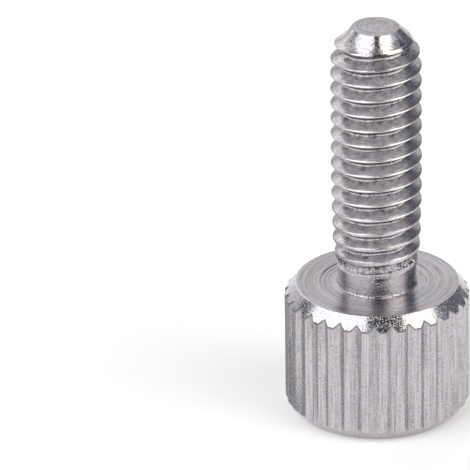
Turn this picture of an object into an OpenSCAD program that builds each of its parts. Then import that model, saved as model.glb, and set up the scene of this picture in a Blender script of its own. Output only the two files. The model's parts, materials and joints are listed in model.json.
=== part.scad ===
// Knurled thumb screw, turned from one piece of stainless steel bar.
// It stands on its head: z = 0 is the head's outer face, and the shaft points up along +Z.
// The helical ridge of the thread is not cut: its length is a plain cylinder over the crests.

/* [Head] */
// Diameter of the head over the knurl's ridges
head_d = 8; // [7.5:0.1:14]
// Height of the head
head_h = 5.9; // [3:0.1:12]
// Width of the bevel at each end of the head, across the face
bevel_w = 0.47; // [0.25:0.01:0.8]
// Height of that bevel, along the side
bevel_h = 0.55; // [0.25:0.01:1]
// How far the recess around the neck reaches beyond the thread's crests
recess_margin = 0.505; // [0.3:0.005:0.6]
// Depth of that recess below the bearing face
recess_depth = 0.03; // [0.01:0.01:0.2]

/* [Straight knurl] */
// Number of grooves around the head
groove_count = 32; // [16:1:40]
// Depth of a groove below the ridges
groove_depth = 0.19; // [0.05:0.01:0.3]
// Width of a groove at its mouth
groove_mouth = 0.52; // [0.2:0.01:0.56]
// Width of a groove's floor
groove_floor = 0.06; // [0.02:0.01:0.18]
// Angle that the whole ring of grooves is turned by
groove_turn = -2; // [-12:0.5:12]

/* [Shaft] */
// Length of the shaft, from the bearing face to the tip
shaft_len = 12; // [6:0.5:40]
// Diameter over the thread's crests
thread_d = 3.93; // [3.5:0.01:4.5]
// How far the plain neck under the head lies below the crests
neck_relief = 0.255; // [0.1:0.005:0.6]
// Length of the neck, from the bearing face
neck_len = 1.05; // [0.5:0.05:3]
// Length over which the neck widens to the thread
runout_len = 0.5; // [0.1:0.05:1]
// Radius of the fillet where the neck meets the head
neck_fillet = 0.12; // [0.05:0.01:0.3]
// Width of the bevel at the tip, across the flat end
tip_bevel_w = 0.945; // [0.3:0.005:1.4]
// Length of that bevel, along the shaft
tip_bevel_len = 0.94; // [0.3:0.01:1.5]

/* [Hidden] */
steel = [0.74, 0.73, 0.74];
// Facets that OpenSCAD shows on a full circle
round_fn = 192;
// How far a cutter or a filler runs past the surface it meets
past = 0.2;
head_r = head_d / 2;
thread_r = thread_d / 2;
neck_r = thread_r - neck_relief;
recess_r = thread_r + recess_margin;
recess_z = head_h - recess_depth;
total_h = head_h + shaft_len;
neck_top = head_h + neck_len;
// Slope of a groove's wall: half its width per height above the floor
wall_slope = (groove_mouth - groove_floor) / 2 / groove_depth;
cutter_half = groove_mouth / 2 + past * wall_slope;

// Half of the lengthwise section: x is the radius, y the height
module half_section() {
    polygon([
        [0, 0],
        [head_r - bevel_w, 0],
        [head_r, bevel_h],
        [head_r, head_h - bevel_h],
        [head_r - bevel_w, head_h],
        [recess_r, head_h],
        [recess_r, recess_z],
        [neck_r, recess_z],
        [neck_r, neck_top],
        [thread_r, neck_top + runout_len],
        [thread_r, total_h - tip_bevel_len],
        [thread_r - tip_bevel_w, total_h],
        [0, total_h]
    ]);
    translate([neck_r, recess_z]) fillet_section();
}

// Concave corner between the neck and the recess, run a little into both
module fillet_section() {
    difference() {
        translate([-past, -past]) square(neck_fillet + past);
        translate([neck_fillet, neck_fillet]) circle(neck_fillet, $fn = 48);
    }
}

// Cross-section of one groove's cutter, at the +X side of the head
module groove_section() {
    floor_r = head_r - groove_depth;
    polygon([
        [floor_r, -groove_floor / 2],
        [head_r + past, -cutter_half],
        [head_r + past, cutter_half],
        [floor_r, groove_floor / 2]
    ]);
}

module knurl_grooves() {
    for (i = [0 : groove_count - 1])
        rotate([0, 0, groove_turn + i * 360 / groove_count])
            translate([0, 0, -past])
                linear_extrude(head_h + 2 * past) groove_section();
}

module thumb_screw() {
    color(steel) difference() {
        rotate_extrude($fn = round_fn) half_section();
        knurl_grooves();
    }
}

thumb_screw();
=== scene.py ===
"""Knurled thumb screw of stainless steel, standing on its head on a pale floor.

The screw is one turned and rolled piece, so its visible shape is one closed mesh. Lengths below are in
millimetres unless their name says otherwise, and the mesh is written in metres. Angles around the
screw's axis are counted from +X, anticlockwise seen from the tip. The front of the picture is -Y.
"""
import json
import math

import bpy
from mathutils import Matrix, Vector, noise


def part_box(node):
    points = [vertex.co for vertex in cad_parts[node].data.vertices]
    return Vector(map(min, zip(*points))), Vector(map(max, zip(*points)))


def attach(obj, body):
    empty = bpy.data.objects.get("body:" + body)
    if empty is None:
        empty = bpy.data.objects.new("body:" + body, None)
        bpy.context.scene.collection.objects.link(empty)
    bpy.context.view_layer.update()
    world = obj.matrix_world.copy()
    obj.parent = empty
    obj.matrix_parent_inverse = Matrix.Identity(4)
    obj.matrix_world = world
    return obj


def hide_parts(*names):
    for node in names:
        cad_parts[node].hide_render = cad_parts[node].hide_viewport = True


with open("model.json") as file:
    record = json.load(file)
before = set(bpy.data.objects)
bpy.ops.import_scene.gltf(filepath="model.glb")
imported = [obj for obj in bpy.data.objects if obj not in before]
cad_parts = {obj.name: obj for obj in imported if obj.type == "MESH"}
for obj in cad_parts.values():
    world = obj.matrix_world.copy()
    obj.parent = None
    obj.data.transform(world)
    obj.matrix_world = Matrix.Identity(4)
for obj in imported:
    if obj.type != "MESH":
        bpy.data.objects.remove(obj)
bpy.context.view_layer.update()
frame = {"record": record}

# Metres in a millimetre.
METRES = 0.001

# ---------------------------------------------------------------- sizes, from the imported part
MOUNTS = {mount["name"]: mount for mount in frame["record"]["mounts"]}
NODE_LOW, NODE_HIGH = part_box("thumb_screw")
TOTAL_H = (NODE_HIGH[2] - NODE_LOW[2]) / METRES
HEAD_H = MOUNTS["shoulder"]["pos_m"][2] / METRES
CREST_R = MOUNTS["thread"]["dims"]["r_mm"]

# ---------------------------------------------------------------- sizes of the mesh
# Points that fall in the same cell of this size are one vertex.
WELD = 0.0002
# Edges between faces that meet at more than this many degrees are drawn sharp.
SHARP_ANGLE = 27
# Columns of vertices around the turned faces and the shaft.
EVEN_COLUMNS = 192
BEVEL_STATIONS = 4
SIDE_STATIONS = 40

# ---------------------------------------------------------------- sizes of the head
HEAD_R = 4.0
BEVEL_W = 0.47
BEVEL_H = 0.55
FACE_R = HEAD_R - BEVEL_W
# The softened edge between a face and its bevel: how far it reaches in, out and along the axis.
EDGE_IN = 0.03
EDGE_OUT = EDGE_IN * 0.45
EDGE_ALONG = EDGE_IN * 0.5

# ---------------------------------------------------------------- sizes of the knurl
GROOVES = 32
GROOVE_TURN = math.radians(-2)
GROOVE_PITCH = 2 * math.pi * HEAD_R / GROOVES
# Half of one groove and ridge: distance from the groove's middle, and depth below the lip.
GROOVE_HALF = [(0.0, 0.192), (0.025, 0.184), (0.14, 0.096), (0.25, 0.012), (0.27, 0.0), (0.3, 0.006)]
RIDGE_DIP = 0.008
# Points deeper than this move with the groove that they are in.
MOUTH_DEPTH = 0.012
# Grooves differ by up to this share of their depth, and their bottoms lie up to this far off the middle.
CUT_SPREAD = 0.05
CUT_SEED = (3.7, 5.1)
LEAN_SPREAD = 0.012
LEAN_SEED = (2.3, 9.4)
# Wear of the knurled side: its depth, the share of that at each place, and the height over which it sets
# in from the bevels.
WEAR_DEPTH = 0.006
WEAR_ON_LIP = 0.5
WEAR_ON_RIDGE = 1.0
WEAR_IN_GROOVE = 0.35
WEAR_FADE = 0.3
# Its two noises: weight, cycles a radian around and a millimetre upwards, and seed.
WEAR_NOISES = [(1.0, 40, 2.2, 1.5), (0.6, 90, 6, 4.5)]

# ---------------------------------------------------------------- sizes of the turned faces
# The tool's feed marks: height, cycles a millimetre, and what is added to the face's seed.
FEED_MARKS = [(0.0016, 3.1, 0), (0.0009, 11.0, 7)]
OUTER_FACE_SEED = 3.0
SHOULDER_SEED = 11.0
RECESS_SEED = 23.0
TIP_SEED = 31.0
# The head's outer face: its hollow, the plain strip inside its rim, and its rings of vertices.
FACE_HOLLOW = 0.004
FACE_PLAIN_R = FACE_R - 0.12
FACE_MARKED_R = FACE_R - 0.3
FACE_FIRST_R = 0.12
FACE_RING_STEP = 0.105
FACE_RINGS = 31
# The two scribed rings near its rim.
SCRIBED_RADII = (3.18, 3.34)
SCRIBED_H = 0.012
SCRIBED_W = 0.03
# The shoulder: how far it lies below its rim, the plain strip inside the rim, and its rings.
SHOULDER_DROP = 0.002
SHOULDER_PLAIN_R = FACE_R - 0.05
SHOULDER_MARKED_R = FACE_R - 0.2
SHOULDER_RINGS = 16
# Width of the strip of triangles between the knurl's columns and the even ones, and the least gap from
# it to the next ring.
STITCH_W = 0.06
RING_GAP = 0.02
# The shallow recess around the neck, and its edge: distance outside RECESS_R, and depth.
RECESS_R = CREST_R + 0.505
RECESS_DEPTH = 0.03
RECESS_EDGE = [(0.02, 0.0), (0.0, 0.008), (-0.012, RECESS_DEPTH)]
SHOULDER_END_R = RECESS_R + 0.12
RECESS_START_R = RECESS_R - 0.03
RECESS_RINGS = 16
# The groove that the tool left in it.
TOOL_GROOVE_R = 1.97
TOOL_GROOVE_DEPTH = 0.014
TOOL_GROOVE_W = 0.035

# ---------------------------------------------------------------- sizes of the neck and the thread
NECK_R = CREST_R - 0.255
NECK_TOP = HEAD_H + 1.05
NECK_FILLET = 0.12
FILLET_RINGS = 5
NECK_RINGS = 6
PITCH = 0.7
# Height of the thread's crest where it crosses +X, less whole turns.
CREST_PHASE = 0.0
# Height from which the mesh follows the thread, and the turns worked out beyond those that are seen.
THREAD_LOW = NECK_TOP - 0.3
SPARE_TURNS = 3
# Slope of the thread's flanks, and half the width of its full crests.
FLANK_SLOPE = math.tan(math.radians(60))
CREST_FLAT = 0.026
ROOT_R = CREST_R - 0.47
ROOT_ROUND = 0.08
SHARP_ROOT_R = CREST_R - (PITCH / 2 - CREST_FLAT) * FLANK_SLOPE
# The crests' softened edge: how far it reaches in and its depth there, then the share of the flank that
# it reaches down and how far below the flank it lies there.
CREST_EDGE_IN = 0.012
CREST_EDGE_DEPTH = 0.003
CREST_EDGE_SHARE = 0.025
CREST_EDGE_DROP = 0.005
# The other stations of a flank, as shares of it, and those of the rounded root, as slopes in degrees.
FLANK_SHARES = (0.09, 0.4, 0.7)
ROOT_SLOPES = (60, 40, 20)
# Flanks that reach less than this along the axis have less of both roundings.
SHORT_FLANK = 0.1
# How the crests rise out of the neck: share of the rise, and the heights between which it happens.
CREST_RISES = [(0.75, NECK_TOP - 0.4, NECK_TOP + 1.15), (0.25, 8.0, 11.0)]
# Heights between which the roots reach their full depth.
ROOT_FALL = (NECK_TOP - 0.15, NECK_TOP + 1.05)
# Nicks in the crests: depth, cycles a radian around and a millimetre upwards, the noise below which there
# are any, and how far down they reach, as a share of the thread's depth.
NICK_DEPTH = 0.007
NICK_NOISE = (9, 4)
NICK_LEVEL = -0.1
NICK_REACH = 0.12
# Burrs in the roots of the last turn: height, the same cycles, the heights between which they set in and
# end, and the shares of the thread's depth between which they set in.
BURR_H = 0.055
BURR_NOISE = (25, 10)
BURR_START = (NECK_TOP - 0.1, NECK_TOP + 0.1)
BURR_END = (NECK_TOP + 0.75, NECK_TOP + 0.45)
BURR_DEPTHS = (0.2, 0.6)

# ---------------------------------------------------------------- sizes of the tip
TIP_BEVEL_W = 0.945
TIP_BEVEL_LEN = 0.94
TIP_R = CREST_R - TIP_BEVEL_W
# Heights where the crests start to fall, where the grooves start to fade, and where they end.
CREST_FALL_START = 16.1
GROOVE_FADE_START = 17.2
GROOVE_END = 17.5
# The crests' fall 1 mm up from there, which grows with the square of the distance, and the share of it
# that the roots are spared.
CREST_FALL = 0.17
ROOT_FALL_LOSS = 0.5
# The hollow in the left side of the bevel: depth, and the heights between which it starts and ends.
HOLLOW_DEPTH = 0.07
HOLLOW_START = (17.05, 17.3)
HOLLOW_END = (17.75, 17.45)
# The rim where the first crest stands proud of the bevel: height, the crest's heights between which it
# starts and ends, and the distances above and below the crest's middle between which it fades.
RIM_H = 0.038
RIM_START = (17.0, 17.15)
RIM_END = (17.62, 17.5)
RIM_ABOVE = (0.058, 0.0)
RIM_BELOW = (-0.16, -0.03)
# A station whose radius is this little short of the bevel's still lies on it.
ON_BEVEL = 1e-9
# The tip's flat end: depths of its edge and its face below the top, the depth above which stations join
# that edge, how much closer its marks are than the shoulder's, and its rings of vertices.
TIP_EDGE_DROP = 0.006
TIP_FACE_DROP = 0.003
TIP_JOIN_DROP = 0.02
TIP_MARKS_CLOSER = 1.3
TIP_LAST_R = 0.08
TIP_RINGS = 14

# ---------------------------------------------------------------- the picture's frame
FRAME_PX = 470
FOCAL_PX = 7000
SENSOR_MM = 36
CAMERA_BACK = 272.35
CAMERA_UP = 138.15
CAMERA_TILT = math.radians(25.53)
CAMERA_ROLL = -0.0047
CAMERA_CLIP_M = (0.01, 10)
AXIS_COLUMN_PX = 376.7

# ---------------------------------------------------------------- numbers of the materials
# Places of the materials in the mesh.
KNURLED, TURNED, DENTED, NECK, CONE, ROLLED = range(6)

STEEL_LIGHT = (0.61, 0.582, 0.616)
STEEL_SATIN = (0.43, 0.41, 0.434)
STEEL_DARK = (0.35, 0.336, 0.354)
STEEL_BRIGHT = (0.68, 0.656, 0.682)
# Lighter steel of the worn crests and lips: partly wear, partly a painted highlight along them.
STEEL_WORN_AND_HIGHLIGHT = (0.74, 0.716, 0.709)
# Dark steel of stains, specks and dirt, also used for the painted shade deep in the thread.
STEEL_STAIN_AND_SHADE = (0.13, 0.123, 0.13)
# Steel drifts between these two tints of its colour.
WARM = (1.02, 1.0, 0.965)
COOL = (0.975, 1.0, 1.025)

# Noise: cycles a millimetre, detail and roughness.
NOISES = {
    "hue": (1.3, 2.0, 0.5),
    "thread hue": (2.2, 2.0, 0.5),
    "knurl pits": (19.0, 2.0, 0.6),
    "knurl clouds": (3.0, 3.0, 0.5),
    "knurl specks": (9.0, 3.0, 0.7),
    "face grit": (18.0, 2.0, 0.6),
    "bevel grit": (17.0, 2.0, 0.6),
    "bevel dents": (15.0, 1.0, 0.5),
    "neck grit": (14.0, 2.0, 0.6),
    "neck dirt": (9.0, 3.0, 0.7),
    "tip mottles": (9.0, 3.0, 0.6),
    "thread grit": (18.0, 2.0, 0.7),
    "thread patches": (3.0, 3.0, 0.6),
    "thread dirt": (5.0, 3.0, 0.65),
    "thread burrs": (12.0, 4.0, 0.8),
}
# Noise drawn out along the axis: cycles a millimetre across and along it, and detail.
STREAKS = {"knurl streaks": (18.0, 0.5, 3.0)}
# Noise drawn out around the axis: cycles a millimetre outwards and upwards, cycles a radian, and detail.
RINGS = {
    "face fine rings": (22.0, 0.0, 0.9, 2.0),
    "face broad rings": (12.0, 0.0, 0.6, 2.0),
    "face scratches": (11.0, 0.0, 1.6, 1.0),
    "neck marks": (0.0, 15.0, 2.5, 2.0),
    "tip marks": (0.0, 9.0, 2.0, 2.0),
    "thread marks": (17.0, 0.0, 4.0, 3.0),
}
# Weight of each noise in a material's tone, in the order in which the material gives them.
TONE_WEIGHTS = {
    "knurl": (0.43, 0.5, 0.07),
    "face": (0.3, 0.35, 0.35),
    "bevel": (1.0,),
    "neck": (0.5, 0.5),
    "tip": (0.6, 0.4),
    "thread": (0.3, 0.35, 0.35),
}
# Ramps: the two values that each runs between, then its result at the first and at the second.
RAMPS = {
    "hue": (0.4, 0.6, 0, 1),
    "knurl tone": (0.42, 0.54, 0, 1),
    "knurl lips": (HEAD_R - 0.005, HEAD_R - 0.001, 0, 0.6),
    "knurl outline": (BEVEL_H - HEAD_H + 0.03, BEVEL_H - HEAD_H + 0.12, 0.9, 0),
    "knurl specks": (0.64, 0.72, 0, 0.9),
    "knurl roughness": (0.3, 0.7, 0.22, 0.36),
    "face tone": (0.42, 0.58, 0, 1),
    "face scratches": (0.66, 0.74, 0, 0.6),
    "face specks": (0.7, 0.78, 0, 0.6),
    "face roughness": (0.3, 0.7, 0.14, 0.22),
    "bevel tone": (0.38, 0.6, 0, 1),
    "bevel dents": (0.56, 0.68, 0, 1),
    "bevel roughness": (0.35, 0.75, 0.07, 0.12),
    "neck tone": (0.41, 0.59, 0, 1),
    "neck foot": (HEAD_H + 0.05, HEAD_H + 0.4, 0.8, 0),
    "neck dirt": (0.5, 0.62, 0, 1),
    "neck roughness": (0.35, 0.7, 0.10, 0.18),
    "tip tone": (0.38, 0.56, 0, 1),
    "tip roughness": (0.35, 0.75, 0.08, 0.14),
    "thread tone": (0.42, 0.57, 0, 1),
    "thread crests": (CREST_R - 0.04, CREST_R - 0.015, 0, 0.9),
    # Painted shade: "thread depth", "thread underside" and "thread root" darken the thread towards its roots
    # and on its lower flanks.
    "thread depth": (CREST_R - 0.05, ROOT_R + 0.02, 0, 1),
    "thread underside": (-0.1, -0.5, 0, 1),
    "thread blotches": (0.55, 0.63, 0, 0.85),
    "thread blotched depth": (0.4, 0.8, 0, 1),
    "thread root": (ROOT_R + 0.015, ROOT_R + 0.06, 0.15, 0),
    "thread specks": (0.66, 0.75, 0, 0.7),
    "thread burrs": (0.49, 0.57, 0, 0.95),
    "thread last turn": (NECK_TOP + 0.4, NECK_TOP + 0.6, 1, 0),
    "thread roughness": (0.3, 0.75, 0.10, 0.18),
}
# Painted shade at the thread's full depth: everywhere, and what the lower flanks, which face down, have on
# top of that.
SHADE_AT_DEPTH = 0.08
SHADE_ON_UNDERSIDE = 0.2
# Bumps: height in millimetres.
BUMPS = {
    "knurl pits": 0.005,
    "knurl streaks": 0.007,
    "face grit": 0.004,
    "face fine rings": 0.007,
    "face broad rings": 0.007,
    "bevel grit": 0.003,
    "bevel dents": 0.0038,
    "neck grit": 0.012,
    "neck marks": 0.006,
    "tip mottles": 0.007,
    "thread grit": 0.008,
    "thread marks": 0.004,
}
# How far highlights are stretched across the tool's marks, and the quarter turn that sets them across.
FACE_STRETCH = 0.7
NECK_STRETCH = 0.5
TIP_STRETCH = 0.3
QUARTER_TURN = 0.25
# The thread's tint at grazing angles, which keeps its rims from turning white.
THREAD_GRAZING_TINT = (0.5, 0.5, 0.5)

# ---------------------------------------------------------------- numbers of the floor and the studio
FLOOR_HALF_M = 2.0
FLOOR_COLOUR = (0.90, 0.90, 0.90)
# Glow that the floor adds where it is seen directly, in a reflection or through glass.
FLOOR_LIFT = 0.17

# Cards on the floor, seen only in reflections: corners, then brightness. The left one stands in for the
# second screw of the photograph, the right one for darker surroundings.
CARDS = {
    "card_left": (
        [(-3.75, -3.0), (-5, -3.5), (-10, -4.8), (-17, -6), (-17, 14), (-6, 12), (-4.6, 1.0), (-4.2, -1.6)],
        0.45,
    ),
    "card_right": ([(30, 5), (150, 20), (150, 120), (24, 40)], 0.5),
}
CARD_HEIGHT = 0.05

STUDIO_WALL = (0.88, 0.88, 0.88)
# Parts of the studio around the screw, each over those before it: azimuth to the right of the camera's
# side and elevation, in degrees, then the colour and the softness of the border.
STUDIO = [
    ("overhead", (-400, 400), (48, 120), (0.40, 0.40, 0.40), 7),
    ("grey wall at the left", (-178, -98), (8, 26), (0.60, 0.60, 0.61), 5),
    ("pale wall at the left", (-172, -129), (13, 42.5), (1.28, 1.28, 1.28), 3),
    ("dark patch at the left", (-118, -103), (17, 33), (0.12, 0.12, 0.13), 2.5),
    ("left softbox", (-98, -16), (25, 76), (2.1, 2.1, 2.15), 3),
    ("right softbox", (28, 89), (19, 76), (2.45, 2.4, 2.2), 3),
    ("gap at the camera, low", (-19, 28), (9, 31), (0.36, 0.35, 0.37), 3),
    ("gap at the camera", (-18, 44), (31, 58), (0.07, 0.07, 0.08), 3),
    ("gap at the camera, high", (-14, 27), (58, 80), (0.12, 0.12, 0.13), 3),
    ("dark ceiling", (-400, 400), (79, 120), (0.12, 0.12, 0.13), 3),
    ("dark corner", (91, 148.5), (-6, 41), (0.18, 0.185, 0.215), 2),
    ("blue patch in the dark corner", (107, 127), (30, 38), (0.6, 0.63, 0.75), 3.5),
    ("dark corner, high", (91, 149.5), (37, 50.5), (0.11, 0.115, 0.14), 2.5),
    ("blue patch, high", (89, 109), (36, 50), (0.8, 0.83, 0.95), 4),
]


def smooth_step(low, high, value):
    """0 at low and 1 at high, with a smooth rise between them. low may be the larger one."""
    t = min(max((value - low) / (high - low), 0.0), 1.0)
    return t * t * (3 - 2 * t)


def bell(value, middle, width):
    return math.exp(-(((value - middle) / width) ** 2))


def grain(x, y=0.0, z=0.0):
    """Repeatable smooth noise between -1 and 1."""
    return noise.noise(Vector((x, y, z)))


def steps(start, end, count):
    """count values from start to end, without start itself."""
    return [start + (end - start) * (i + 1) / count for i in range(count)]


class Skin:
    """Collects the vertices and faces of one mesh, ring by ring."""

    def __init__(self):
        self.points = []
        self.known = {}
        self.faces = []
        self.slots = []

    def add(self, angle, radius, height):
        """The number of the vertex here, which is a new one if its cell has none yet."""
        point = (radius * math.cos(angle), radius * math.sin(angle), height)
        cell = tuple(round(c / WELD) for c in point)
        if cell not in self.known:
            self.known[cell] = len(self.points)
            self.points.append(point)
        return self.known[cell]

    def ring(self, angles, radius_and_height):
        """A closed ring: radius_and_height gives both for each column's number."""
        return [self.add(a, *radius_and_height(j)) for j, a in enumerate(angles)]

    def face(self, corners, slot):
        """A face without its repeated corners, left out if that isn't a plain polygon."""
        kept = [c for i, c in enumerate(corners) if c != corners[i - 1]]
        if len(set(kept)) == len(kept) > 2:
            self.faces.append(kept)
            self.slots.append(slot)

    def band(self, ring, next_ring, slot):
        """Quads between two rings of as many vertices, facing outwards when the next one is higher."""
        n = len(ring)
        for j in range(n):
            k = (j + 1) % n
            self.face([ring[j], ring[k], next_ring[k], next_ring[j]], slot)

    def bands(self, ring, angles, radii, height_at, slot):
        """Bands from a ring over the radii in turn, at the heights that height_at gives. Returns the last."""
        for radius in radii:
            next_ring = self.ring(angles, lambda j: (radius, height_at(radius)))
            self.band(ring, next_ring, slot)
            ring = next_ring
        return ring

    def cap(self, ring, centre, slot, upwards):
        """Triangles between a ring and the vertex in its middle."""
        n = len(ring)
        for j in range(n):
            corners = [ring[j], ring[(j + 1) % n], centre]
            self.face(corners if upwards else corners[::-1], slot)

    def stitch(self, outer, inner, nearest, slot, upwards):
        """Triangles between a ring and one inside it, given the outer column nearest to each inner one."""
        n = len(outer)
        m = len(inner)
        for i in range(m):
            k = (i + 1) % m
            start = nearest[i]
            count = (nearest[k] - start) % n
            half = count // 2
            for c in range(count):
                a = outer[(start + c) % n]
                b = outer[(start + c + 1) % n]
                if c == half:
                    corners = [inner[i], a, inner[k]]
                    self.face(corners if upwards else corners[::-1], slot)
                corners = [a, b, inner[i] if c < half else inner[k]]
                self.face(corners if upwards else corners[::-1], slot)

    def build(self, name):
        mesh = bpy.data.meshes.new(name)
        mesh.from_pydata([[c * METRES for c in p] for p in self.points], [], self.faces)
        mesh.polygons.foreach_set("material_index", self.slots)
        mesh.validate()
        return mesh


# ---------------------------------------------------------------- the head
def knurl_columns():
    """Angle and depth below the lip of each column around the head, by groove."""
    left = [(-x, d) for x, d in GROOVE_HALF[:0:-1]]
    across = left + GROOVE_HALF + [(GROOVE_PITCH / 2, RIDGE_DIP)]
    angles = []
    depths = []
    for groove in range(GROOVES):
        centre = GROOVE_TURN + groove * 2 * math.pi / GROOVES
        cut = 1 + CUT_SPREAD * grain(groove * CUT_SEED[0], CUT_SEED[1])
        lean = LEAN_SPREAD * grain(groove * LEAN_SEED[0], LEAN_SEED[1])
        for x, depth in across:
            inside = depth > MOUTH_DEPTH
            angles.append(centre + (x + (lean if inside else 0.0)) / HEAD_R)
            depths.append(depth * cut if inside else depth)
    return angles, depths


def even_angles():
    return [2 * math.pi * j / EVEN_COLUMNS for j in range(EVEN_COLUMNS)]


def nearest_columns(angles, even):
    """For each even angle, the number of the column nearest to it."""
    full = 2 * math.pi
    found = []
    for target in even:
        gaps = [abs((a - target + math.pi) % full - math.pi) for a in angles]
        found.append(gaps.index(min(gaps)))
    return found


def feed_marks(radius, seed):
    """Height of the tool's uneven feed marks on a turned face."""
    return sum(height * grain(radius * per_mm, seed + more) for height, per_mm, more in FEED_MARKS)


def outer_face_height(radius):
    """The head's outer face, with its hollow, scribed rings and feed marks."""
    scribed = sum(SCRIBED_H * bell(radius, at, SCRIBED_W) for at in SCRIBED_RADII)
    marked = smooth_step(FACE_PLAIN_R, FACE_MARKED_R, radius)
    return marked * (FACE_HOLLOW + scribed + feed_marks(radius, OUTER_FACE_SEED))


def side_wear(angle, depth, height):
    """Small unevenness of the knurled side: most on the ridges, less on the lips and in the grooves."""
    share = WEAR_ON_LIP if depth == 0 else WEAR_ON_RIDGE if depth <= RIDGE_DIP else WEAR_IN_GROOVE
    rough = sum(weight * grain(angle * around, height * up, seed) for weight, around, up, seed in WEAR_NOISES)
    from_below = smooth_step(BEVEL_H, BEVEL_H + WEAR_FADE, height)
    from_above = smooth_step(HEAD_H - BEVEL_H, HEAD_H - BEVEL_H - WEAR_FADE, height)
    return WEAR_DEPTH * share * (from_below * from_above) * min(rough, 0.0)


def build_head(skin):
    """The head, from the middle of its outer face up to the fillet's last ring, which it returns."""
    angles, depths = knurl_columns()
    even = even_angles()
    nearest = nearest_columns(angles, even)

    def on_bevel(share, j):
        """Radius and height on the lower bevel, share of the way from the face to the side."""
        reach = 1 - depths[j] / BEVEL_W
        radius = FACE_R + EDGE_OUT + (BEVEL_W * reach - EDGE_OUT) * share
        height = EDGE_ALONG + (BEVEL_H * reach - EDGE_ALONG) * share
        return radius, height

    def on_side(share, j):
        radius, low = on_bevel(1, j)
        height = low + (HEAD_H - 2 * low) * share
        return radius + side_wear(angles[j], depths[j], height), height

    def on_upper_bevel(share, j):
        radius, height = on_bevel(share, j)
        return radius, HEAD_H - height

    middle = skin.add(0, 0, outer_face_height(0))
    radii = [FACE_FIRST_R + FACE_RING_STEP * i for i in range(FACE_RINGS)]
    first = skin.ring(even, lambda j: (radii[0], outer_face_height(radii[0])))
    skin.cap(first, middle, TURNED, upwards=False)
    face = skin.bands(first, even, radii[1:], outer_face_height, TURNED)
    ring = skin.ring(angles, lambda j: (FACE_R - EDGE_IN, 0.0))
    skin.stitch(ring, face, nearest, TURNED, upwards=False)

    upwards = [step / BEVEL_STATIONS for step in range(BEVEL_STATIONS + 1)]
    levels = [(on_bevel, share, DENTED) for share in upwards]
    levels += [(on_side, step / SIDE_STATIONS, KNURLED) for step in range(1, SIDE_STATIONS)]
    levels += [(on_upper_bevel, 1 - share, DENTED if share else KNURLED) for share in upwards]
    for place, share, slot in levels:
        next_ring = skin.ring(angles, lambda j: place(share, j))
        skin.band(ring, next_ring, slot)
        ring = next_ring
    rim = skin.ring(angles, lambda j: (FACE_R - EDGE_IN, HEAD_H))
    skin.band(ring, rim, DENTED)
    return build_shoulder(skin, rim, nearest, even)


def build_shoulder(skin, rim, nearest, even):
    """The shoulder, the shallow recess and the fillet up to the neck."""

    def shoulder_height(radius):
        marked = smooth_step(SHOULDER_PLAIN_R, SHOULDER_MARKED_R, radius)
        return HEAD_H + marked * (feed_marks(radius, SHOULDER_SEED) - SHOULDER_DROP)

    def recess_height(radius):
        groove = TOOL_GROOVE_DEPTH * bell(radius, TOOL_GROOVE_R, TOOL_GROOVE_W)
        return HEAD_H - RECESS_DEPTH + feed_marks(radius, RECESS_SEED) - groove

    first_radius = FACE_R - EDGE_IN - STITCH_W
    ring = skin.ring(even, lambda j: (first_radius, shoulder_height(first_radius)))
    skin.stitch(rim, ring, nearest, TURNED, upwards=True)
    radii = steps(FACE_R - EDGE_IN, SHOULDER_END_R, SHOULDER_RINGS)
    radii = [radius for radius in radii if radius < first_radius - RING_GAP]
    ring = skin.bands(ring, even, radii, shoulder_height, TURNED)
    for outside, depth in RECESS_EDGE:
        next_ring = skin.ring(even, lambda j: (RECESS_R + outside, HEAD_H - depth))
        skin.band(ring, next_ring, TURNED)
        ring = next_ring
    fillet_r = NECK_R + NECK_FILLET
    ring = skin.bands(ring, even, steps(RECESS_START_R, fillet_r, RECESS_RINGS), recess_height, TURNED)
    for turn in steps(0, math.pi / 2, FILLET_RINGS):
        radius = fillet_r - NECK_FILLET * math.sin(turn)
        height = HEAD_H - RECESS_DEPTH + NECK_FILLET * (1 - math.cos(turn))
        next_ring = skin.ring(even, lambda j: (radius, height))
        skin.band(ring, next_ring, NECK)
        ring = next_ring
    return ring


# ---------------------------------------------------------------- the shaft
def crest_limit(height):
    """The crests get lower towards the neck, where the thread runs out."""
    rise = sum(share * smooth_step(start, end, height) for share, start, end in CREST_RISES)
    return NECK_R + (CREST_R - NECK_R) * rise


def root_limit(height):
    """The grooves get shallower towards the neck, and come out to the crests on the tip's bevel."""
    deep = NECK_R - (NECK_R - ROOT_R) * smooth_step(*ROOT_FALL, height)
    return deep + (CREST_R - deep) * smooth_step(GROOVE_FADE_START, GROOVE_END, height)


def half_turn(crest_height, side):
    """Stations of one flank, from the crest's middle to the root's: height and radius of each.

    side is -1 for the flank below the crest and +1 for the one above it.
    """
    crest = crest_limit(crest_height)
    root = root_limit(crest_height + side * PITCH / 2)
    crest_edge = CREST_FLAT + (CREST_R - crest) / FLANK_SLOPE
    root_edge = PITCH / 2 - (root - SHARP_ROOT_R) / FLANK_SLOPE
    reach = max(root_edge - crest_edge, 0.0)
    soft = min(1.0, reach / SHORT_FLANK)
    fall = max(crest - root, 0.0)
    stations = [(0.0, 0.0), (crest_edge - CREST_EDGE_IN * soft, CREST_EDGE_DEPTH * soft)]
    edge_drop = fall * CREST_EDGE_SHARE + CREST_EDGE_DROP * soft
    stations.append((crest_edge + reach * CREST_EDGE_SHARE, edge_drop))
    for share in FLANK_SHARES:
        stations.append((crest_edge + reach * share, fall * share))
    rounding = soft * min((PITCH / 2 - crest_edge - reach) * FLANK_SLOPE, ROOT_ROUND)
    for slope in ROOT_SLOPES:
        lean = math.radians(slope)
        along = crest_edge + reach + rounding * (1 / FLANK_SLOPE - math.sin(lean))
        stations.append((along, fall - rounding * (1 - math.cos(lean))))
    places = [(crest_height + side * along, crest - depth) for along, depth in stations]
    return places + [(crest_height + side * PITCH / 2, root)]


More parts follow.
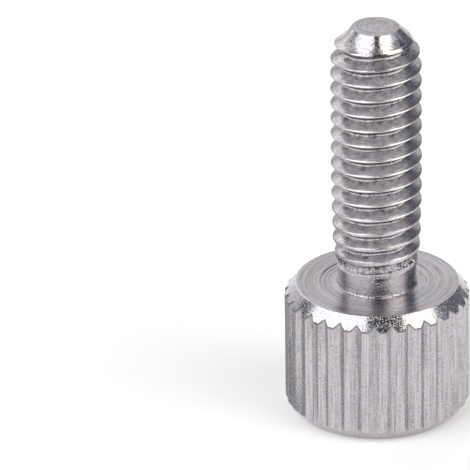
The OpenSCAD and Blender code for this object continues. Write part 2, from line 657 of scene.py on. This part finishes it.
def crest_fall(height):
    """How far the crests lie below full height near the tip, where the thread starts."""
    past = max(min(height, GROOVE_FADE_START) - CREST_FALL_START, 0.0)
    return CREST_FALL * past ** 2 * (1 - smooth_step(GROOVE_FADE_START, GROOVE_END, height))


def worn_radius(angle, height, radius):
    """The rolled surface with its start, small nicks and the burrs of the last turn."""
    depth = (CREST_R - radius) / (CREST_R - ROOT_R)
    radius -= crest_fall(height) * (1 - ROOT_FALL_LOSS * depth)
    x, y = math.cos(angle), math.sin(angle)
    around, up = NICK_NOISE
    nicks = 0.0
    if depth < NICK_REACH:
        nicks = NICK_DEPTH * min(grain(x * around, y * around, height * up) - NICK_LEVEL, 0.0)
    around, up = BURR_NOISE
    in_burrs = smooth_step(*BURR_START, height) * smooth_step(*BURR_END, height)
    burrs = BURR_H * grain(x * around, y * around, height * up) * in_burrs * smooth_step(*BURR_DEPTHS, depth)
    return radius + nicks + burrs


def bevel_radius(angle, height):
    """The tip's bevel, slightly hollow on its left side."""
    at_left = max(-math.cos(angle), 0.0) ** 2
    hollow = HOLLOW_DEPTH * at_left * smooth_step(*HOLLOW_START, height) * smooth_step(*HOLLOW_END, height)
    return TIP_R + (TOTAL_H - height) * TIP_BEVEL_W / TIP_BEVEL_LEN - hollow


def rim_bulge(crest, along):
    """How far the first crest stands proud of the tip's bevel, at a distance above the crest's middle."""
    there = smooth_step(*RIM_START, crest) * smooth_step(*RIM_END, crest)
    return RIM_H * there * smooth_step(*RIM_ABOVE, along) * smooth_step(*RIM_BELOW, along)


def thread_column(angle, turns):
    """Height, radius and the tip's bevel's radius of each station in one column.

    Where the thread and the bevel cross, the station nearest to the crossing is moved onto it, so that
    the edge between them is clean.
    """
    first = CREST_PHASE + PITCH * math.floor((THREAD_LOW - PITCH - CREST_PHASE) / PITCH)
    stations = []
    for turn in range(turns):
        crest = first + PITCH * (turn + angle / (2 * math.pi))
        lower = half_turn(crest, -1)
        upper = half_turn(crest, 1)
        for height, radius in lower[::-1] + upper[1:-1]:
            bevel = bevel_radius(angle, height) + rim_bulge(crest, height - crest)
            stations.append([height, worn_radius(angle, height, radius), bevel])
    moved = set()
    for i in range(len(stations) - 1):
        gap_here = stations[i][1] - stations[i][2]
        gap_next = stations[i + 1][1] - stations[i + 1][2]
        if gap_here * gap_next >= 0 or stations[i][0] > TOTAL_H:
            continue
        share = gap_here / (gap_here - gap_next)
        crossing = [a + (b - a) * share for a, b in zip(stations[i], stations[i + 1])]
        nearer = i if share < 0.5 else i + 1
        if nearer in moved:
            nearer = 2 * i + 1 - nearer
        stations[nearer] = [crossing[0], crossing[2], crossing[2]]
        moved.add(nearer)
    return stations


def build_shaft(skin, ring):
    """Neck, thread and tip, from the fillet's last ring to the middle of the tip."""
    even = even_angles()
    for height in steps(HEAD_H - RECESS_DEPTH + NECK_FILLET, THREAD_LOW, NECK_RINGS):
        next_ring = skin.ring(even, lambda j: (NECK_R, height))
        skin.band(ring, next_ring, NECK)
        ring = next_ring
    tip_ring = skin.ring(even, lambda j: (TIP_R, TOTAL_H - TIP_EDGE_DROP))

    grid = []
    on_bevel = []
    turns = math.ceil((TOTAL_H - THREAD_LOW) / PITCH) + SPARE_TURNS
    for j, angle in enumerate(even):
        column = []
        flags = []
        for height, radius, bevel in thread_column(angle, turns):
            if height <= THREAD_LOW:
                column.append(ring[j])
            elif height >= TOTAL_H - TIP_JOIN_DROP:
                column.append(tip_ring[j])
            else:
                column.append(skin.add(angle, min(radius, bevel), height))
            flags.append(bevel <= radius + ON_BEVEL)
        grid.append(column)
        on_bevel.append(flags)

    # Each column meets the next one station by station. The last meets the first a turn higher.
    per_turn = 2 * len(half_turn(THREAD_LOW, 1)) - 2
    for j in range(EVEN_COLUMNS):
        k = (j + 1) % EVEN_COLUMNS
        shift = 0 if k else per_turn
        for i in range(len(grid[j]) - 1 - shift):
            corners = [grid[j][i], grid[k][i + shift], grid[k][i + shift + 1], grid[j][i + 1]]
            beveled = all(on_bevel[j][i:i + 2]) and all(on_bevel[k][i + shift:i + shift + 2])
            height = skin.points[corners[0]][2]
            slot = CONE if beveled else NECK if height < NECK_TOP else ROLLED
            skin.face(corners, slot)
    build_tip(skin, tip_ring, even)


def build_tip(skin, ring, even):
    """The flat end of the tip, slightly lower at its edge, with turning marks."""

    def tip_height(radius):
        return TOTAL_H - TIP_FACE_DROP + feed_marks(radius * TIP_MARKS_CLOSER, TIP_SEED)

    ring = skin.bands(ring, even, steps(TIP_R, TIP_LAST_R, TIP_RINGS), tip_height, TURNED)
    middle = skin.add(0, 0, tip_height(0))
    skin.cap(ring, middle, TURNED, upwards=True)


# ---------------------------------------------------------------- short calls for nodes
# Numbers of a Mix node's colour sockets: its two inputs and its output.
MIX_FIRST = 6
MIX_SECOND = 7
MIX_RESULT = 2


def bare_material(name):
    """A material with nothing but its output: the material, its node tree and the output's surface."""
    material = bpy.data.materials.new(name)
    material.use_nodes = True
    tree = material.node_tree
    tree.nodes.clear()
    output = tree.nodes.new("ShaderNodeOutputMaterial")
    return material, tree, output.inputs["Surface"]


def feed(tree, value, socket):
    """Writes a plain number or RGB colour in the socket, or links a node's output to it."""
    if isinstance(value, (int, float)):
        socket.default_value = value
    elif isinstance(value, tuple):
        socket.default_value = (*value, 1)
    else:
        tree.links.new(value, socket)


def math_node(tree, operation, *values):
    node = tree.nodes.new("ShaderNodeMath")
    node.operation = operation
    for value, socket in zip(values, node.inputs):
        feed(tree, value, socket)
    return node.outputs[0]


def blend_node(tree, share, colour, other):
    """The colour with that share of the other one."""
    node = tree.nodes.new("ShaderNodeMix")
    node.data_type = "RGBA"
    feed(tree, share, node.inputs["Factor"])
    feed(tree, colour, node.inputs[MIX_FIRST])
    feed(tree, other, node.inputs[MIX_SECOND])
    return node.outputs[MIX_RESULT]


def split_node(tree, vector):
    node = tree.nodes.new("ShaderNodeSeparateXYZ")
    tree.links.new(vector, node.inputs[0])
    return node.outputs


def glow_node(tree, strength):
    node = tree.nodes.new("ShaderNodeEmission")
    node.inputs["Strength"].default_value = strength
    return node.outputs[0]


class Steel:
    """One steel material, and short calls for its nodes, whose numbers are in the tables above."""

    def __init__(self, name):
        self.material, self.tree, surface = bare_material(name)
        self.shader = self.tree.nodes.new("ShaderNodeBsdfPrincipled")
        self.shader.inputs["Metallic"].default_value = 1.0
        self.tree.links.new(self.shader.outputs["BSDF"], surface)
        coords = self.tree.nodes.new("ShaderNodeTexCoord")
        self.facing = coords.outputs["Normal"]
        scaled = self.tree.nodes.new("ShaderNodeVectorMath")
        scaled.operation = "SCALE"
        scaled.inputs["Scale"].default_value = 1 / METRES
        self.tree.links.new(coords.outputs["Object"], scaled.inputs[0])
        self.place = scaled.outputs["Vector"]

    def math(self, operation, *values):
        return math_node(self.tree, operation, *values)

    def blend(self, share, colour, other):
        return blend_node(self.tree, share, colour, other)

    def axes(self):
        """The place's x, y and height in millimetres, and its radius from the screw's axis."""
        x, y, height = split_node(self.tree, self.place)
        squares = self.math("ADD", self.math("MULTIPLY", x, x), self.math("MULTIPLY", y, y))
        return x, y, height, self.math("SQRT", squares)

    def facing_up(self):
        """1 where the surface faces straight up, -1 where it faces straight down."""
        return split_node(self.tree, self.facing)[2]

    def vector(self, *values):
        node = self.tree.nodes.new("ShaderNodeCombineXYZ")
        for value, socket in zip(values, node.inputs):
            feed(self.tree, value, socket)
        return node.outputs[0]

    def noise_node(self, vector, cycles, detail, roughness):
        node = self.tree.nodes.new("ShaderNodeTexNoise")
        node.inputs["Scale"].default_value = cycles
        node.inputs["Detail"].default_value = detail
        node.inputs["Roughness"].default_value = roughness
        self.tree.links.new(vector, node.inputs["Vector"])
        return node.outputs[0]

    def noise(self, name):
        return self.noise_node(self.place, *NOISES[name])

    def streaks(self, name):
        """Noise drawn out along the axis."""
        across, along, detail = STREAKS[name]
        x, y, height, _ = self.axes()
        cycles = ((x, across), (y, across), (height, along))
        coordinates = self.vector(*(self.math("MULTIPLY", c, f) for c, f in cycles))
        return self.noise_node(coordinates, 1.0, detail, 0.5)

    def rings(self, name):
        """Noise drawn out around the axis."""
        outwards, upwards, around, detail = RINGS[name]
        x, y, height, radius = self.axes()
        spread = self.weighted((radius, outwards), (height, upwards))
        sides = [self.math("MULTIPLY", self.math("DIVIDE", c, radius), around) for c in (x, y)]
        return self.noise_node(self.vector(spread, *sides), 1.0, detail, 0.5)

    def weighted(self, *terms):
        """The sum of values times their weights, from pairs of both."""
        total = 0.0
        for value, weight in terms:
            total = self.math("ADD", self.math("MULTIPLY", value, weight), total)
        return total

    def ramp(self, value, name):
        node = self.tree.nodes.new("ShaderNodeMapRange")
        self.tree.links.new(value, node.inputs["Value"])
        for socket, number in zip(("From Min", "From Max", "To Min", "To Max"), RAMPS[name]):
            node.inputs[socket].default_value = number
        return node.outputs["Result"]

    def tone(self, name, *noises):
        """0 where the steel is dark and 1 where it is light, from the material's noises."""
        return self.ramp(self.weighted(*zip(noises, TONE_WEIGHTS[name])), name + " tone")

    def steel(self, tone, dark, light, hue="hue"):
        """Light steel that drifts between warm and cool, darker where tone is low."""
        warm = tuple(c * t for c, t in zip(light, WARM))
        cool = tuple(c * t for c, t in zip(light, COOL))
        drift = self.blend(self.ramp(self.noise(hue), "hue"), warm, cool)
        return self.blend(self.math("SUBTRACT", 1.0, tone), drift, dark)

    def bump(self, height, name, under=None):
        """Bumps on the surface, or on the bumps under them where those are given."""
        node = self.tree.nodes.new("ShaderNodeBump")
        node.inputs["Strength"].default_value = 1.0
        node.inputs["Distance"].default_value = BUMPS[name] * METRES
        self.tree.links.new(height, node.inputs["Height"])
        if under is not None:
            self.tree.links.new(under, node.inputs["Normal"])
        return node.outputs["Normal"]

    def stretch(self, amount):
        """Stretches the highlights across marks that run around the axis."""
        tangent = self.tree.nodes.new("ShaderNodeTangent")
        tangent.direction_type = "RADIAL"
        tangent.axis = "Z"
        self.tree.links.new(tangent.outputs["Tangent"], self.shader.inputs["Tangent"])
        self.shader.inputs["Anisotropic"].default_value = amount
        self.shader.inputs["Anisotropic Rotation"].default_value = QUARTER_TURN

    def finish(self, colour, roughness, normal):
        for name, value in (("Base Color", colour), ("Roughness", roughness), ("Normal", normal)):
            self.tree.links.new(value, self.shader.inputs[name])
        return self.material


# ---------------------------------------------------------------- the materials
def knurled_steel():
    """Satin rolled surface: fine streaks along the ridges, pits, dark specks and an outline at the bevel."""
    make = Steel("knurled_steel")
    streaks = make.streaks("knurl streaks")
    pits = make.noise("knurl pits")
    tone = make.tone("knurl", streaks, pits, make.noise("knurl clouds"))
    height, radius = make.axes()[2:]
    steel = make.steel(tone, STEEL_DARK, STEEL_LIGHT)
    # The lips are lighter: wear, and a painted highlight along them.
    worn_and_highlight = make.blend(make.ramp(radius, "knurl lips"), steel, STEEL_WORN_AND_HIGHLIGHT)
    depth = make.math("SUBTRACT", HEAD_R, radius)
    from_bevel = make.weighted((depth, BEVEL_H / BEVEL_W), (height, -1.0))
    specks = make.ramp(make.noise("knurl specks"), "knurl specks")
    dark = make.math("MAXIMUM", specks, make.ramp(from_bevel, "knurl outline"))
    colour = make.blend(dark, worn_and_highlight, STEEL_STAIN_AND_SHADE)
    normal = make.bump(streaks, "knurl streaks", make.bump(pits, "knurl pits"))
    return make.finish(colour, make.ramp(pits, "knurl roughness"), normal)


def turned_steel():
    """Flat faces with the tool's rings, fine scratches along them and small specks."""
    make = Steel("turned_steel")
    fine = make.rings("face fine rings")
    broad = make.rings("face broad rings")
    grit = make.noise("face grit")
    tone = make.tone("face", fine, broad, grit)
    scratches = make.ramp(make.rings("face scratches"), "face scratches")
    dark = make.math("MAXIMUM", scratches, make.ramp(grit, "face specks"))
    colour = make.blend(dark, make.steel(tone, STEEL_DARK, STEEL_LIGHT), STEEL_STAIN_AND_SHADE)
    normal = make.bump(fine, "face fine rings", make.bump(grit, "face grit"))
    normal = make.bump(broad, "face broad rings", normal)
    make.stretch(FACE_STRETCH)
    return make.finish(colour, make.ramp(broad, "face roughness"), normal)


def dented_steel():
    """The head's bevels: bright, with fine dents from the knurling wheel."""
    make = Steel("dented_steel")
    grit = make.noise("bevel grit")
    dents = make.ramp(make.noise("bevel dents"), "bevel dents")
    colour = make.steel(make.tone("bevel", grit), STEEL_SATIN, STEEL_BRIGHT)
    normal = make.bump(dents, "bevel dents", make.bump(grit, "bevel grit"))
    return make.finish(colour, make.ramp(grit, "bevel roughness"), normal)


def neck_steel():
    """The plain neck: tool marks around the axis, with dark pits at its foot."""
    make = Steel("neck_steel")
    marks = make.rings("neck marks")
    grit = make.noise("neck grit")
    tone = make.tone("neck", marks, grit)
    foot = make.ramp(make.axes()[2], "neck foot")
    dark = make.math("MULTIPLY", make.ramp(make.noise("neck dirt"), "neck dirt"), foot)
    colour = make.blend(dark, make.steel(tone, STEEL_SATIN, STEEL_LIGHT), STEEL_STAIN_AND_SHADE)
    normal = make.bump(marks, "neck marks", make.bump(grit, "neck grit"))
    make.stretch(NECK_STRETCH)
    return make.finish(colour, make.ramp(grit, "neck roughness"), normal)


def cone_steel():
    """The tip's bevel: bright and slightly mottled."""
    make = Steel("cone_steel")
    mottles = make.noise("tip mottles")
    tone = make.tone("tip", mottles, make.rings("tip marks"))
    colour = make.steel(tone, STEEL_DARK, STEEL_LIGHT)
    make.stretch(TIP_STRETCH)
    return make.finish(colour, make.ramp(mottles, "tip roughness"), make.bump(mottles, "tip mottles"))


def rolled_steel():
    """The thread: lighter crests, from burnishing and a painted highlight, flanks with dark blotches, painted
    shade towards the roots and on the lower flanks, and burrs on the last turn.
    """
    make = Steel("rolled_steel")
    height, radius = make.axes()[2:]
    marks = make.rings("thread marks")
    grit = make.noise("thread grit")
    tone = make.tone("thread", marks, grit, make.noise("thread patches"))
    steel = make.steel(tone, STEEL_SATIN, STEEL_BRIGHT, "thread hue")
    # The crests are lighter: burnishing, and a painted highlight along them.
    worn_and_highlight = make.blend(make.ramp(radius, "thread crests"), steel, STEEL_WORN_AND_HIGHLIGHT)
    # Painted shade, darker towards the roots and more so on the lower flanks, which face down.
    depth = make.ramp(radius, "thread depth")
    underside = make.math("MULTIPLY", depth, make.ramp(make.facing_up(), "thread underside"))
    painted_shade = make.weighted((depth, SHADE_AT_DEPTH), (underside, SHADE_ON_UNDERSIDE))
    blotched = make.ramp(depth, "thread blotched depth")
    blotches = make.math("MULTIPLY", make.ramp(make.noise("thread dirt"), "thread blotches"), blotched)
    last_turn = make.ramp(height, "thread last turn")
    burrs = make.math("MULTIPLY", make.ramp(make.noise("thread burrs"), "thread burrs"), last_turn)
    dark = make.ramp(grit, "thread specks")
    # The ramp "thread root" adds painted shade at the bottom of the roots.
    for part in (painted_shade, blotches, make.ramp(radius, "thread root"), burrs):
        dark = make.math("MAXIMUM", dark, part)
    colour = make.blend(dark, worn_and_highlight, STEEL_STAIN_AND_SHADE)
    make.shader.inputs["Specular Tint"].default_value = (*THREAD_GRAZING_TINT, 1)
    normal = make.bump(marks, "thread marks", make.bump(grit, "thread grit"))
    return make.finish(colour, make.ramp(grit, "thread roughness"), normal)


# ---------------------------------------------------------------- floor, cards, studio and camera
def new_object(name, data):
    piece = bpy.data.objects.new(name, data)
    bpy.context.scene.collection.objects.link(piece)
    return piece


def flat_object(name, corners, material):
    """A single polygon, with its corners in metres."""
    mesh = bpy.data.meshes.new(name)
    mesh.from_pydata(corners, [], [range(len(corners))])
    mesh.materials.append(material)
    return new_object(name, mesh)


def seen_rays(tree):
    """1 for rays that show a surface: from the camera, in a reflection or through glass."""
    path = tree.nodes.new("ShaderNodeLightPath")
    total = path.outputs["Is Camera Ray"]
    for name in ("Is Glossy Ray", "Is Transmission Ray"):
        total = math_node(tree, "MAXIMUM", total, path.outputs[name])
    return total


def build_floor():
    """A pale floor that looks white where it is seen, and keeps the screw's shadow."""
    material, tree, surface = bare_material("floor_white")
    diffuse = tree.nodes.new("ShaderNodeBsdfDiffuse")
    feed(tree, FLOOR_COLOUR, diffuse.inputs["Color"])
    lifted = tree.nodes.new("ShaderNodeMixShader")
    choice = (seen_rays(tree), glow_node(tree, 0.0), glow_node(tree, FLOOR_LIFT))
    for value, socket in zip(choice, lifted.inputs):
        tree.links.new(value, socket)
    both = tree.nodes.new("ShaderNodeAddShader")
    tree.links.new(diffuse.outputs[0], both.inputs[0])
    tree.links.new(lifted.outputs[0], both.inputs[1])
    tree.links.new(both.outputs[0], surface)
    corners = [(x * FLOOR_HALF_M, y * FLOOR_HALF_M, 0) for x, y in ((-1, -1), (1, -1), (1, 1), (-1, 1))]
    flat_object("floor", corners, material)


def build_card(name, corners, brightness):
    """A glowing card that only reflections show."""
    material, tree, surface = bare_material(name + "_grey")
    tree.links.new(glow_node(tree, brightness), surface)
    places = [(x * METRES, y * METRES, CARD_HEIGHT * METRES) for x, y in corners]
    card = flat_object(name, places, material)
    card.visible_camera = False
    card.visible_diffuse = False
    card.visible_shadow = False


def build_studio():
    """The world: a pale wall with the parts of STUDIO on it."""
    world = bpy.data.worlds.new("studio")
    bpy.context.scene.world = world
    world.use_nodes = True
    tree = world.node_tree
    tree.nodes.clear()
    output = tree.nodes.new("ShaderNodeOutputWorld")
    background = tree.nodes.new("ShaderNodeBackground")
    tree.links.new(background.outputs[0], output.inputs["Surface"])
    coords = tree.nodes.new("ShaderNodeTexCoord")
    x, y, z = split_node(tree, coords.outputs["Generated"])
    to_degrees = math.degrees(1)
    turn = math_node(tree, "ARCTAN2", x, math_node(tree, "MULTIPLY", y, -1.0))
    azimuth = math_node(tree, "MULTIPLY", turn, to_degrees)
    elevation = math_node(tree, "MULTIPLY", math_node(tree, "ARCSINE", z), to_degrees)

    def rise(value, at, soft):
        """0 below at and 1 above it, with a smooth border."""
        node = tree.nodes.new("ShaderNodeMapRange")
        node.interpolation_type = "SMOOTHSTEP"
        tree.links.new(value, node.inputs["Value"])
        node.inputs["From Min"].default_value = at - soft
        node.inputs["From Max"].default_value = at + soft
        return node.outputs["Result"]

    def within(value, limits, soft):
        low, high = limits
        return math_node(tree, "SUBTRACT", rise(value, low, soft), rise(value, high, soft))

    light = STUDIO_WALL
    for _, azimuths, elevations, colour, soft in STUDIO:
        across = within(azimuth, azimuths, soft)
        part = math_node(tree, "MULTIPLY", across, within(elevation, elevations, soft))
        light = blend_node(tree, part, light, colour)
    tree.links.new(light, background.inputs["Color"])


def turned(first, second, angle):
    """Two directions at right angles, turned by an angle from the first towards the second."""
    c, s = math.cos(angle), math.sin(angle)
    return first * c + second * s, second * c - first * s


def build_camera():
    """A long lens looking down at the screw, turned left so that the screw is in the right of the frame."""
    forward = Vector((0, math.cos(CAMERA_TILT), -math.sin(CAMERA_TILT)))
    right = Vector((1, 0, 0))
    right, up = turned(right, right.cross(forward), CAMERA_ROLL)
    turn = math.atan((AXIS_COLUMN_PX - FRAME_PX / 2) / FOCAL_PX)
    right, forward = turned(right, forward, turn)
    data = bpy.data.cameras.new("camera")
    data.sensor_width = SENSOR_MM
    data.lens = FOCAL_PX * SENSOR_MM / FRAME_PX
    data.clip_start, data.clip_end = CAMERA_CLIP_M
    camera = new_object("camera", data)
    rotation = Matrix((right, up, -forward)).transposed().to_4x4()
    place = Vector((0, -CAMERA_BACK, CAMERA_UP)) * METRES
    camera.matrix_world = Matrix.Translation(place) @ rotation
    bpy.context.scene.camera = camera


def build_screw():
    skin = Skin()
    build_shaft(skin, build_head(skin))
    mesh = skin.build("thumb_screw_steel")
    # In the order of the places KNURLED, TURNED, DENTED, NECK, CONE and ROLLED.
    for new_material in (knurled_steel, turned_steel, dented_steel, neck_steel, cone_steel, rolled_steel):
        mesh.materials.append(new_material())
    mesh.shade_smooth()
    mesh.set_sharp_from_angle(angle=math.radians(SHARP_ANGLE))
    screw = new_object("thumb_screw_steel", mesh)
    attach(screw, "root")
    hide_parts("thumb_screw")


build_camera()
build_screw()
build_floor()
for card_name, (card_corners, card_brightness) in CARDS.items():
    build_card(card_name, card_corners, card_brightness)
build_studio()
bpy.context.scene.view_settings.view_transform = "Standard"
